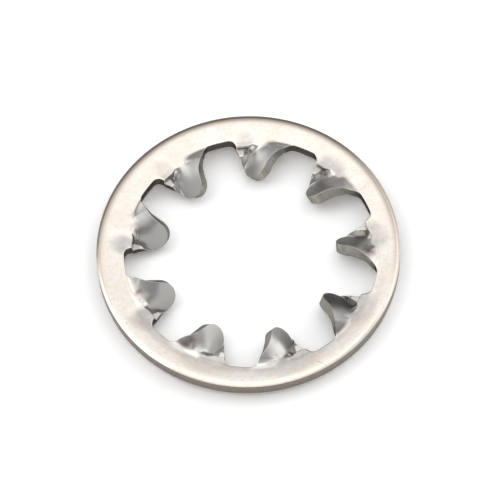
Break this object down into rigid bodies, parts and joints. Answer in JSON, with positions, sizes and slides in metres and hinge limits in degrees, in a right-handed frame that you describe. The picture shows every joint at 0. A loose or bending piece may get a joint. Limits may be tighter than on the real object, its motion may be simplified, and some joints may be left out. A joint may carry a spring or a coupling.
{
  "type": "internal tooth lock washer",
  "caption": "Flat round lock washer of bright stainless steel, with twisted rounded teeth pointing in towards the bolt hole.",
  "frame": {"origin": "centre of the washer's rim, on the plane that the low edges of the teeth stand on", "axes": "+Z is the washer's axis, towards the face with the rolled-over rim; +X passes through the middle of one tooth, very nearly, because the tooth ring is 0.23 mm off the rim's centre"},
  "size_m": [0.018, 0.018, 0.0019],
  "materials": {
    "stainless_steel": "bright rolled sheet, lightly tumbled after stamping"
  },
  "bodies": {
    "root": {"toothed_lock_washer": "stainless_steel"}
  },
  "joints": []
}
